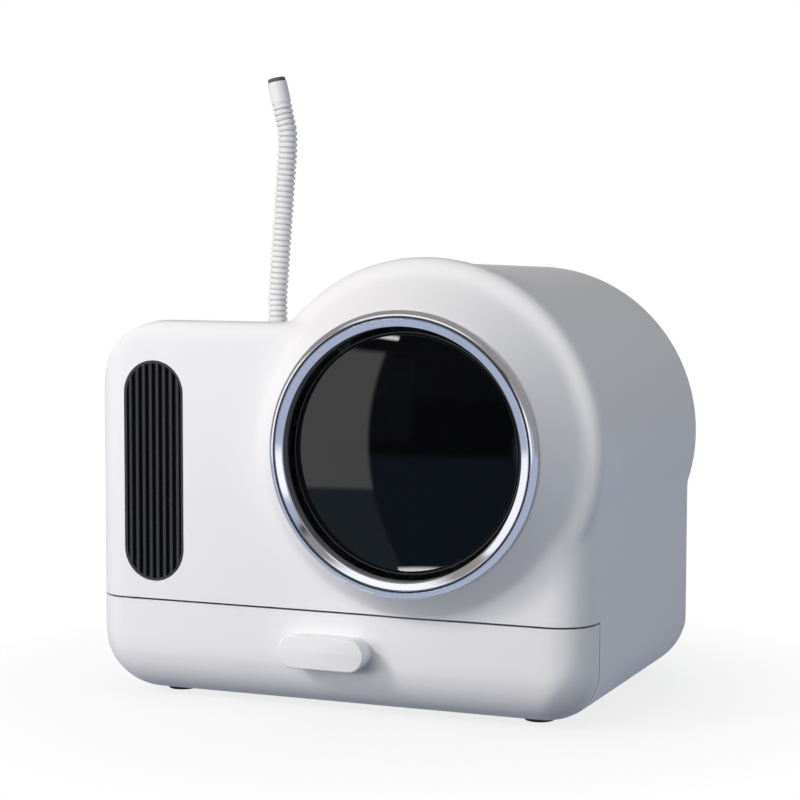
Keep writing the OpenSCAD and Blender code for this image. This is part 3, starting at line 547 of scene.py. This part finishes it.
# ---------- shell: one soft body, cut into housing and drawer front ----------
body = block("housing_shell", (0, 0, 0), (MOUTH_X, BODY_D, BOX_H))
round_edges(body, lambda p: p.x < 1 and p.z > 300, SHOULDER_R, 24)
round_edges(body, lambda p: p.x < 1 and p.z < 1, UNDER_R + 8, 18)
flank = block("flank", (200, 0, 0), (BODY_W, BODY_D, FLANK_H))
round_edges(flank, lambda p: p.x > BODY_W - 1 and p.z < 1, UNDER_R, 16)
combine(body, flank, "UNION")
side = block("side_outline", (-1, 0, 0), (BODY_W + 1, BODY_D, BOX_H))
pick_edges(side, lambda p: p.y > 300 and p.z > 300)
bpy.ops.transform.translate(value=(0, 0, -TOP_FALL * MM))
bpy.ops.object.mode_set(mode="OBJECT")
round_edges(side, lambda p: p.y < 1 and p.z < 1, UNDER_R, 16)
round_edges(side, lambda p: p.y > BODY_D - 1 and p.z < 1, UNDER_R, 16)
round_edges(side, lambda p: p.y < 1 and p.z > 300, TOP_EDGE_R, 8)
round_edges(side, lambda p: p.y > BODY_D - 1 and p.z > 300, REAR_R, 10)
combine(body, side, "INTERSECT")
plan = block("plan_outline", (0, 0, -1), (BODY_W, BODY_D, 400))
for corner_x in (0, BODY_W):
    for corner_y in (0, BODY_D):
        round_edges(plan, lambda p: abs(p.x - corner_x) < 1 and abs(p.y - corner_y) < 1, CORNER_R, 12)
combine(body, plan, "INTERSECT")
# Where three rounded edges meet, the lower corners are round like part of a ball.
soft_corners = block("soft_corners", (-6, -7, 0), (BODY_W + 7, BODY_D + 7, 520))
combine(body, round_edges(soft_corners, lambda p: True, 60, 16), "INTERSECT")
taper = (CONE_FOOT_R - CONE_TIP_R) / MOUTH_REACH
cone = lathe("cone", [(0, -50), (CONE_FOOT_R - 50 * taper, -50), (CONE_FOOT_R + 14 * taper, 14), (0, 14)],
             back_from(MOUTH_X, MOUTH_Z))
combine(body, cone, "UNION")
barrel_back = BODY_D - BARREL_REAR_R * math.sin(math.radians(BARREL_TILT))
barrel = lathe("barrel",
               [(0, RIDGE_Y - RIDGE_STEP)] + arc(RIDGE_R - RIDGE_STEP, RIDGE_Y, RIDGE_STEP, -90, 0, 10)
               + [(BARREL_R, 90)] + arc(BARREL_REAR_R - REAR_R, barrel_back - REAR_R, REAR_R, 0, 90, 10)
               + [(0, barrel_back)], back_from(BARREL_X, BARREL_Z, BARREL_TILT))
combine(body, barrel, "UNION")
# The barrel's end stands upright, in one plane with the back wall.
end_z = BARREL_Z - BODY_D * math.tan(math.radians(BARREL_TILT)) + 0.3
combine(body, lathe("barrel_end", [(0, 320), (BARREL_REAR_R - 0.6, 320)]
                    + arc(BARREL_REAR_R - 0.6 - REAR_R, BODY_D - REAR_R, REAR_R, 0, 90, 10) + [(0, BODY_D)],
                    back_from(BARREL_X, end_z)), "UNION")
# The voxel skin and its smoothing turn the hard meeting lines into the moulding's soft fillets.
finish_modifier(body, "REMESH", mode="VOXEL", voxel_size=3.8 * MM, adaptivity=0, use_smooth_shade=True)
finish_modifier(body, "SMOOTH", factor=0.5, iterations=9)
inside = copy_of(body, "inside")
finish_modifier(inside, "DECIMATE", ratio=0.2)
finish_modifier(inside, "DISPLACE", strength=-WALL * MM, mid_level=0, direction="NORMAL")
drawer_front = copy_of(body, "drawer_front_shell")

combine(body, block("cone_end", (-5, -80, -5), (BODY_W + 5, -MOUTH_REACH, 500)), "DIFFERENCE")
combine(body, inside, "DIFFERENCE", keep=True)
combine(body, block("bay", (-5, -5, -5), (BODY_W + 5, WRAP + SEAM_GAP, SEAM_Z)), "DIFFERENCE")
mouth_bore = lathe("bore", [(0, -40), (LINER_OUT + 0.3, -40), (LINER_OUT + 0.3, 14), (0, 14)],
                   back_from(MOUTH_X, MOUTH_Z))
combine(body, mouth_bore, "DIFFERENCE")
combine(body, stadium("grille_hole", GRILLE_X, GRILLE_Z, GRILLE_W + 0.6, GRILLE_H + 0.6, -5, 12),
        "DIFFERENCE")
combine(body, block("open_underside", (UNDER_R + 8, 0, -5),
                    (BODY_W - UNDER_R - 8, BODY_D - UNDER_R - 8, WALL + 2)), "DIFFERENCE")
combine(body, block("cover_rebate", (45.7, BODY_D - 2, 129.7), (140.3, BODY_D + 5, 300.3)), "DIFFERENCE")
combine(body, block("cover_opening", (53, BODY_D - 12, 137), (133, BODY_D + 5, 293)), "DIFFERENCE")
collar_hole = lathe("collar_hole", [(0, -20), (12, -20), (12, 0), (COLLAR_R, 0), (COLLAR_R, 12), (0, 12)],
                    upright(HOSE_X, HOSE_Y, COLLAR_Z), steps=64)
combine(body, collar_hole, "DIFFERENCE")
smooth(body, 32)
place_piece(body, "body", ["housing"], shell_abs)

combine(drawer_front, block("front_part", (-5, -5, -5), (BODY_W + 5, WRAP, SEAM_Z - SEAM_GAP)), "INTERSECT")
combine(drawer_front, inside, "DIFFERENCE")
smooth(drawer_front, 32)
place_piece(drawer_front, "drawer", ["drawer_front"], shell_abs)

# ---------- drawer pull ----------
pull = stadium("drawer_pull_grip", PULL_X, PULL_Z, PULL_W, PULL_H, -PULL_D, 0, 20)
# The grip narrows a little towards the drawer, so that fingers hold behind its front edge.
pick_edges(pull, lambda p: p.y > -0.01)
bpy.ops.transform.resize(value=(0.975, 1, 0.94), center_override=at(PULL_X, 0, PULL_Z))
bpy.ops.object.mode_set(mode="OBJECT")
round_edges(pull, lambda p: p.y < -PULL_D + 0.01, 1.6, 4)
pocket = block("pocket", (PULL_X - 32, -PULL_D + 4, PULL_Z - PULL_H / 2 - 5),
               (PULL_X + 32, -PULL_D + 17, PULL_Z + 0.5))
combine(pull, pocket, "DIFFERENCE")
smooth(pull, 30)
place_piece(pull, "drawer", ["drawer_pull"], pull_abs)

# ---------- chrome rings ----------
bezel_profile = ([(GROOVE_R + 0.6, -MOUTH_REACH), (GROOVE_R + 0.6, RING_FRONT + 0.4)]
                 + arc(GROOVE_R + 1.0, RING_FRONT + 0.4, 0.4, 180, 264, 4)
                 + [(GROOVE_R + 1.3, RING_FRONT + 0.05), (GROOVE_R + 2.4, RING_FRONT + 0.26),
                    (GROOVE_R + 2.52, RING_FRONT + 0.285)]
                 + arc(BEZEL_R - 5.26, RING_FRONT + 5.43, 5.26, -73, 0, 14)
                 + [(BEZEL_R, -MOUTH_REACH), (GROOVE_R + 0.6, -MOUTH_REACH)])
bezel = smooth(lathe("outer_chrome_ring", bezel_profile, back_from(MOUTH_X, MOUTH_Z), steps=256), 40)
place_piece(bezel, "body", ["bezel_ring"], chrome)
trim_profile = ([(TRIM_R + 2.1, -MOUTH_REACH), (TRIM_R + 2.1, RING_FRONT + 2.6), (TRIM_R, RING_FRONT + 2.6)]
                + arc(TRIM_R + 0.4, RING_FRONT + 2.2, 0.4, 180, 250, 3)
                + [(TRIM_R + 1.6, RING_FRONT + 1.5), (TRIM_R + 3.4, RING_FRONT + 1.05),
                   (TRIM_R + 5.2, RING_FRONT + 0.6), (TRIM_R + 6.6, RING_FRONT + 0.25)]
                + arc(GROOVE_R - 1.1, RING_FRONT + 0.55, 0.5, -90, 0, 3)
                + [(GROOVE_R - 0.6, -MOUTH_REACH), (TRIM_R + 2.1, -MOUTH_REACH)])
trim = smooth(lathe("inner_chrome_ring", trim_profile, back_from(MOUTH_X, MOUTH_Z), steps=256), 40)
place_piece(trim, "body", ["trim_ring"], chrome)

# ---------- mouth liner with its hinge bosses ----------
liner_profile = ([(114.4, -35.3)] + arc(114.7, -35.3, 0.3, 180, 270, 2)[1:] + arc(116.1, -35.3, 0.3, 270, 360, 2)
                 + [(116.4, -30), (128.6, -30), (128.6, 6)] + arc(127.3, 5.3, 0.7, 0, 180, 6)
                 + [(126, 6 - 0.7), (126, -26), (114.4, -26), (114.4, -35.3)])
liner = lathe("liner_tube", liner_profile, back_from(MOUTH_X, MOUTH_Z), steps=192)
bosses = []
for side_of in (-1, 1):
    x = MOUTH_X + side_of * 73
    boss = block("boss", (x - 4, -28, MOUTH_Z + HINGE_RISE - 4), (x + 4, HINGE_Y + 4, MOUTH_Z + HINGE_RISE + 4))
    round_edges(boss, lambda p: p.y > HINGE_Y + 3.9 and p.z > MOUTH_Z + HINGE_RISE, 3.9, 8)
    round_edges(boss, lambda p: p.y > HINGE_Y + 3.9 and p.z < MOUTH_Z + HINGE_RISE - 3.9, 3.9, 8)
    bosses.append(soften(boss, 0.4, 2))
bosses = join("bosses", bosses)
pin_hole = lathe("pin_hole", [(0, -80), (2.06, -80), (2.06, 80), (0, 80)],
                 Matrix.Translation(at(MOUTH_X, HINGE_Y, MOUTH_Z + HINGE_RISE)) @ Matrix.Rotation(math.pi / 2, 4, "Y"),
                 steps=32)
combine(bosses, pin_hole, "DIFFERENCE")
combine(liner, bosses, "UNION")
smooth(liner, 35)
place_piece(liner, "body", ["mouth_liner"], liner_abs)

# ---------- flap ----------
rim_profile = ([(WINDOW_R - 4, FLAP_BACK), (WINDOW_R - 4, FLAP_FRONT + WINDOW_T),
                (WINDOW_R + 0.1, FLAP_FRONT + WINDOW_T), (WINDOW_R + 0.1, FLAP_FRONT + 0.3)]
               + arc(WINDOW_R + 0.3, FLAP_FRONT + 0.2, 0.2, 180, 270, 2)
               + arc(FLAP_R - 0.9, FLAP_FRONT + 0.9, 0.9, -90, 0, 5)
               + arc(FLAP_R - 1.2, FLAP_BACK - 1.2, 1.2, 0, 90, 5) + [(WINDOW_R - 4, FLAP_BACK)])
flap_rim = lathe("flap_rim_ring", rim_profile, back_from(MOUTH_X, MOUTH_Z), steps=256)
for side_of in (-1, 1):
    x = MOUTH_X + side_of * 60.5
    lug = block("lug", (x - 6.5, FLAP_FRONT + 1, MOUTH_Z + HINGE_RISE - 5), (x + 6.5, FLAP_BACK, MOUTH_Z + HINGE_RISE + 4))
    combine(flap_rim, soften(lug, 0.8, 3), "UNION")
smooth(flap_rim, 35)
place_piece(flap_rim, "flap", ["flap_rim"], rim_black)
ball = (WINDOW_R ** 2 + DOME_H ** 2) / (2 * DOME_H)


def dome(r):
    return -(math.sqrt(ball ** 2 - r ** 2) - (ball - DOME_H))


def window_front(r):
    """The dome, falling away steeply over its last millimetre and a half."""
    return FLAP_FRONT + dome(r) + 1.1 * (max(0.0, r - WINDOW_R + 1.6) / 1.6) ** 2


radii = [(WINDOW_R - 1.8) * i / 24 for i in range(25)] + [WINDOW_R - 1.6 + 0.16 * i for i in range(11)]
window_profile = ([(r, window_front(r)) for r in radii] + [(WINDOW_R, FLAP_FRONT + WINDOW_T)]
                  + [(WINDOW_R * i / 20, FLAP_FRONT + WINDOW_T + dome(WINDOW_R * i / 20)) for i in range(19, -1, -1)])
flap_window = smooth(lathe("smoked_window_dome", window_profile, back_from(MOUTH_X, MOUTH_Z), steps=192), 50)
place_piece(flap_window, "flap", ["flap_window"], smoked)

# ---------- grille ----------
GRILLE_Y, GRILLE_T, BARS, BAR_W = 0.5, 4, 8, 3.4
bar_pitch = GRILLE_W / (BARS + 0.75)
grille = stadium("grille_frame", GRILLE_X, GRILLE_Z, GRILLE_W, GRILLE_H, GRILLE_Y, GRILLE_Y + GRILLE_T)
opening = stadium("grille_opening", GRILLE_X, GRILLE_Z, GRILLE_W - 4.8, GRILLE_H - 4.8, -2, 8)
combine(grille, opening, "DIFFERENCE")
bars = []
for i in range(BARS):
    x = GRILLE_X + (i - (BARS - 1) / 2) * bar_pitch
    bar = block("bar", (x - BAR_W / 2, GRILLE_Y, GRILLE_Z - 110), (x + BAR_W / 2, GRILLE_Y + GRILLE_T, GRILLE_Z + 110))
    round_edges(bar, lambda p: p.y < GRILLE_Y + 0.01, 0.8, 3)
    bars.append(bar)
bars = join("bars", bars)
outline = stadium("bar_ends", GRILLE_X, GRILLE_Z, GRILLE_W - 2, GRILLE_H - 2, -2, 8)
combine(bars, outline, "INTERSECT")
combine(grille, bars, "UNION")
smooth(grille, 30)
place_piece(grille, "filter_cartridge", ["grille"], grille_black)

# ---------- feet ----------
feet = []
for x in (UNDER_R + 14, BODY_W - UNDER_R - 14):
    for y in (66, BODY_D - 78):
        foot_profile = ([(0, -4)] + arc(12.8, -2.8, 1.2, -90, 0, 4) + arc(13.2, -0.8, 0.8, 0, 90, 3)
                        + [(5, 0), (5, 6.3), (0, 6.3)])
        feet.append(lathe("foot", foot_profile, upright(x, y, 0), steps=48))
feet = smooth(join("rubber_feet", feet), 40)
place_piece(feet, "body", ["feet"], rubber)

# ---------- litter tray ----------
tray = block("litter_tray", (20, 20, 17), (BODY_W - 20, BODY_D - 22, 88))
hollow = block("tray_hollow", (22.5, 22.5, 19.5), (BODY_W - 22.5, BODY_D - 24.5, 95))
# Its corners are round in plan, so that they stay clear of the shell's round lower corners.
for piece, inset, deep, corner_r, edge_r in ((tray, 0, 17, 20, 6), (hollow, 2.5, 19.5, 17.5, 4.5)):
    round_corners(piece, (20 + inset, BODY_W - 20 - inset), (20 + inset, BODY_D - 22 - inset), corner_r)
    round_edges(piece, lambda p: abs(p.z - deep) < 0.1, edge_r, 4)
rim = block("tray_rim", (6.3, 46.2, 85), (BODY_W - 6.3, BODY_D - 22, 88))
round_corners(rim, (6.3, BODY_W - 6.3), (BODY_D - 22,), 16)
combine(tray, rim, "UNION")
combine(tray, hollow, "DIFFERENCE")
soften(tray, 0.6, 2)
smooth(tray, 30)
place_piece(tray, "drawer", ["drawer_tray"], inner_pp)

# ---------- screws: one modelled, copied to every spot ----------
def screw_of(length):
    """Pan-head screw with a cross recess; local Z leaves through the head, zero is under the head."""
    thread = []
    h = -length + 1.6
    while h < -1.2:
        thread += [(1.25, h), (1.6, h + 0.3), (1.25, h + 0.6)]
        h += 0.9
    screw = lathe("screw", [(0, -length), (0.9, -length + 0.4), (1.25, -length + 1.4)] + thread
                  + [(1.6, -0.6), (1.6, 0), (3.2, 0), (3.2, 0.5)]
                  + [(3.05, 0.95), (2.7, 1.35), (2.1, 1.62), (1.2, 1.76), (0, 1.8)],
                  Matrix.Identity(4), steps=24)
    for w, d in ((0.75, 3.4), (3.4, 0.75)):
        recess = block("recess", (0, 0, 0), (w, d, 3))
        recess.data.transform(Matrix.Translation(Vector((-w / 2, -d / 2, 0.7)) * MM - at(0, 0, 0)))
        combine(screw, recess, "DIFFERENCE", solver="EXACT")
    return screw


def put_screws(node, body, length, places):
    """Copies the screw to its places and joins them as one node."""
    first = screw_of(length)
    screws = []
    for place in places:
        twin = copy_of(first, "screw")
        twin.data.transform(place)
        screws.append(twin)
    bpy.data.objects.remove(first)
    return place_piece(smooth(join(node + "_set", screws), 30), body, [node], zinc)


def facing(x, y, z, axis, degrees):
    return Matrix.Translation(at(x, y, z)) @ Matrix.Rotation(math.radians(degrees), 4, axis)


put_screws("cover_screws", "body", 8, [facing(x, BODY_D, z, "X", -90) for x in (49.5, 136.5) for z in (133.5, 296.5)])
put_screws("base_screws", "body", 5.5, [facing(x, y, 6.3, "X", 0) for x in (54, 446) for y in (110, 270)])
put_screws("tray_screws", "drawer", 18.5, [facing(x, 22.5, z, "X", -90) for x in (110, 390) for z in (48, 76)])
put_screws("pull_screws", "drawer", 8, [facing(x, 3, 64, "X", -90) for x in (228.5, 271.5)])
put_screws("liner_screws", "body", 9, [facing(MOUTH_X + x, -26, MOUTH_Z + z, "X", -90) for x, z in
                                       (arc(0, 0, 119.7, a, a, 1)[0] for a in (20, 160, 215, 325))])
put_screws("fan_screws", "body", 28, [facing(125, y, z, "Y", -90) for y in (134.3, 205.7) for z in (199.3, 270.7)])


# ---------- walls, covers and inner parts: the plain mouldings with their rounded edges ----------
def dress(node, body, width, angle=35):
    """A merged copy of the part as constructed, its edges rounded by width."""
    slot = slot_of[node]
    piece = smooth(soften(tidy_copy(node, node + "_moulding"), width, 2, angle), 30)
    finish_modifier(piece, "WEIGHTED_NORMAL", keep_sharp=True)
    return place_piece(piece, body, [node], FINISH_OF_SLOT[slot])


for node, body_name, width in (
        ("rear_cover", "body", 0.5), ("dc_inlet", "body", 0.3), ("divider_wall", "body", 0.5),
        ("compartment_shelf", "body", 0.5), ("litter_guard", "body", 0.5), ("base_plate", "body", 0.5),
        ("left_runner", "body", 0.4), ("right_runner", "body", 0.4), ("filter_frame", "filter_cartridge", 0.4),
        ("carbon_pad", "filter_cartridge", 0.8), ("fan_housing", "body", 0.5), ("fan_motor", "body", 0.5),
        ("fan_rotor", "fan_rotor", 0.2), ("control_board", "body", 0.2), ("flap_pins", "flap", 0.3),
        ("keeper_magnet", "body", 0.3), ("flap_magnet", "flap", 0.3)):
    dress(node, body_name, width)

# ---------- stage and light ----------
deselect_everything()
bpy.ops.mesh.primitive_plane_add(size=14, location=(0, 2, -0.0002))
floor = bpy.context.object
floor.name = "white_floor"
floor_paint = bpy.data.materials.new("white_studio_floor")
floor_paint.use_nodes = True
tree = floor_paint.node_tree
tree.nodes.clear()
place = add_node(tree, "ShaderNodeTexCoord").outputs["Object"]
light_path = add_node(tree, "ShaderNodeLightPath")
seen = add_node(tree, "ShaderNodeMath", {"operation": "MAXIMUM"},
                {0: light_path.outputs["Is Camera Ray"], 1: light_path.outputs["Is Transmission Ray"]})
# The paper throws back little light, so the object's underside stays dark as in the photo.
paper_tone = add_node(tree, "ShaderNodeMix", {"data_type": "RGBA"},
                      {0: seen.outputs[0], 6: linear("#6E7280"), 7: linear("#F2F2F2")})
flat = add_node(tree, "ShaderNodeBsdfDiffuse", None, {"Color": paper_tone.outputs[2]})
white = add_node(tree, "ShaderNodeEmission", None, {"Color": (1, 1, 1, 1), "Strength": 1.0})
distance = add_node(tree, "ShaderNodeVectorMath", {"operation": "LENGTH"}, {0: place})
fade = add_node(tree, "ShaderNodeMapRange", {"clamp": True},
                {"Value": distance.outputs["Value"], "From Min": 0.25, "From Max": 0.5,
                 "To Min": 0.8, "To Max": 1.0})
share = add_node(tree, "ShaderNodeMath", {"operation": "MULTIPLY"}, {0: fade.outputs[0], 1: seen.outputs[0]})
mixed = add_node(tree, "ShaderNodeMixShader", None,
                 {0: share.outputs[0], 1: flat.outputs[0], 2: white.outputs[0]})
add_node(tree, "ShaderNodeOutputMaterial", None, {"Surface": mixed.outputs[0]})
floor.data.materials.append(floor_paint)
bpy.ops.object.transform_apply(location=True, rotation=True, scale=True)
floor.visible_glossy = False

world = bpy.data.worlds.new("soft_studio")
bpy.context.scene.world = world
world.use_nodes = True
tree = world.node_tree
tree.nodes.clear()
light_path = add_node(tree, "ShaderNodeLightPath")
direct = add_node(tree, "ShaderNodeMath", {"operation": "MAXIMUM"},
                  {0: light_path.outputs["Is Camera Ray"], 1: light_path.outputs["Is Transmission Ray"]})
ray = add_node(tree, "ShaderNodeSeparateXYZ", None,
               {0: add_node(tree, "ShaderNodeTexCoord").outputs["Generated"]})
forward = add_node(tree, "ShaderNodeMath", {"operation": "MULTIPLY"}, {0: ray.outputs["Y"], 1: -1.0})
# Direction of a reflection in degrees: turn from straight ahead of the mouth, and height.
turn = add_node(tree, "ShaderNodeMath", {"operation": "MULTIPLY"}, {
    0: add_node(tree, "ShaderNodeMath", {"operation": "ARCTAN2"},
                {0: ray.outputs["X"], 1: forward.outputs[0]}).outputs[0], 1: math.degrees(1)})
height = add_node(tree, "ShaderNodeMath", {"operation": "MULTIPLY"}, {
    0: add_node(tree, "ShaderNodeMath", {"operation": "ARCSINE"}, {0: ray.outputs["Z"]}).outputs[0],
    1: math.degrees(1)})


# The window's upright edge bends outwards above and below the middle, as in the photo.
bow = add_node(tree, "ShaderNodeMath", {"operation": "ADD"}, {0: height.outputs[0], 1: 5.0})
bow = add_node(tree, "ShaderNodeMath", {"operation": "POWER"}, {0: bow.outputs[0], 1: 2.0})
turn = add_node(tree, "ShaderNodeMath", {"operation": "MULTIPLY_ADD"},
                {0: bow.outputs[0], 1: -0.012, 2: turn.outputs[0]})


def card(below, turns, heights, edge, colour):
    """Lays a coloured card over what reflections show; sides in degrees, soft over its edge."""
    mask = None
    for value, (low, high) in ((turn, turns), (height, heights)):
        for a, b in ((low - edge, low + edge), (high + edge, high - edge)):
            side_mask = add_node(tree, "ShaderNodeMapRange", {"interpolation_type": "SMOOTHSTEP"},
                                 {"Value": value.outputs[0], "From Min": a, "From Max": b})
            mask = side_mask.outputs[0] if mask is None else add_node(
                tree, "ShaderNodeMath", {"operation": "MULTIPLY"}, {0: mask, 1: side_mask.outputs[0]}).outputs[0]
    return add_node(tree, "ShaderNodeMix", {"data_type": "RGBA"}, {0: mask, 6: below, 7: colour}).outputs[2]


studio = add_node(tree, "ShaderNodeRGB")
studio.outputs[0].default_value = BROWN
studio = studio.outputs[0]
for turns, heights, edge, colour in CARDS:
    studio = card(studio, turns, heights, edge, colour)
room = add_node(tree, "ShaderNodeBackground", None, {"Color": linear("#F4F8FF"), "Strength": 0.15})
mirrored = add_node(tree, "ShaderNodeBackground", None, {"Color": studio, "Strength": 1.0})
paper = add_node(tree, "ShaderNodeBackground", None, {"Color": (1, 1, 1, 1), "Strength": 1.0})
mixed = add_node(tree, "ShaderNodeMixShader", None,
                 {0: light_path.outputs["Is Glossy Ray"], 1: room.outputs[0], 2: mirrored.outputs[0]})
mixed = add_node(tree, "ShaderNodeMixShader", None,
                 {0: direct.outputs[0], 1: mixed.outputs[0], 2: paper.outputs[0]})
add_node(tree, "ShaderNodeOutputWorld", None, {"Surface": mixed.outputs[0]})


def softbox(name, spot, target, size, power, colour="#FFFFFF"):
    """Rectangular studio lamp at spot, facing target, in metres and watts."""
    lamp = bpy.data.lights.new(name, "AREA")
    lamp.shape = "RECTANGLE"
    lamp.size, lamp.size_y = size
    lamp.energy = power
    lamp.color = linear(colour)[:3]
    light = bpy.data.objects.new(name, lamp)
    bpy.context.scene.collection.objects.link(light)
    aim = (Vector(target) - Vector(spot)).to_track_quat("-Z", "Y")
    light.matrix_world = Matrix.Translation(spot) @ aim.to_matrix().to_4x4()
    light.visible_glossy = False
    return light


softbox("key_softbox", (-1.5, -1.9, 1.5), (0, 0, 0.2), (0.6, 0.6), 31, "#FFF8F0")
softbox("front_softbox", (-0.5, -2.6, 1.0), (0, 0, 0.2), (1.6, 1.2), 20, "#FFFCF6")
softbox("low_softbox", (-1.4, -2.2, 0.4), (0, 0, 0.2), (1.4, 0.6), 14, "#F2F8FF")
softbox("top_softbox", (0, -0.2, 2.4), (0, 0, 0.2), (1.8, 1.8), 5)
softbox("back_softbox", (-1.5, 2.6, 0.9), (0, 0, 0.2), (1.6, 1.4), 26, "#F6FAFF")
softbox("right_softbox", (2.6, -0.5, 1.0), (0, 0, 0.2), (1.6, 1.4), 17, "#EEF5FF")

scene = bpy.context.scene
scene.view_settings.view_transform = "Standard"
